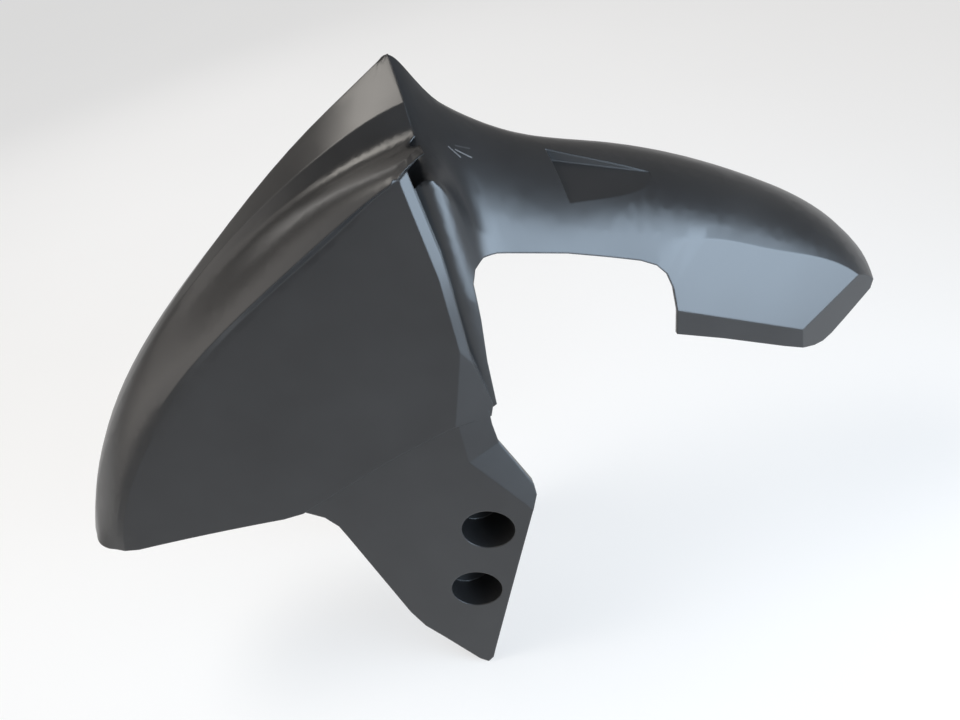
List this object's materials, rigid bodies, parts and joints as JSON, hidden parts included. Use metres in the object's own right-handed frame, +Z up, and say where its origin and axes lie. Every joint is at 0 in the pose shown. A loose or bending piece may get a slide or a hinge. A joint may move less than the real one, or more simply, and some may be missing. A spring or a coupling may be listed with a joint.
{
  "type": "motorcycle front mudguard",
  "caption": "One-piece moulded scooter front mudguard: pointed hood with flared side panels, arched tail with a V end, and fork legs with deep bolt wells.",
  "frame": {"origin": "middle of the part's bounding box seen from above, at the level of the lowest point, the tips of the fork legs, in the position the part has on the vehicle", "axes": "+X forward, +Y to the vehicle's left, +Z up"},
  "size_m": [0.503, 0.1656, 0.3915],
  "materials": {
    "black_plastic": "satin moulded black plastic"
  },
  "bodies": {
    "root": {"mudguard": "black_plastic"}
  },
  "joints": []
}
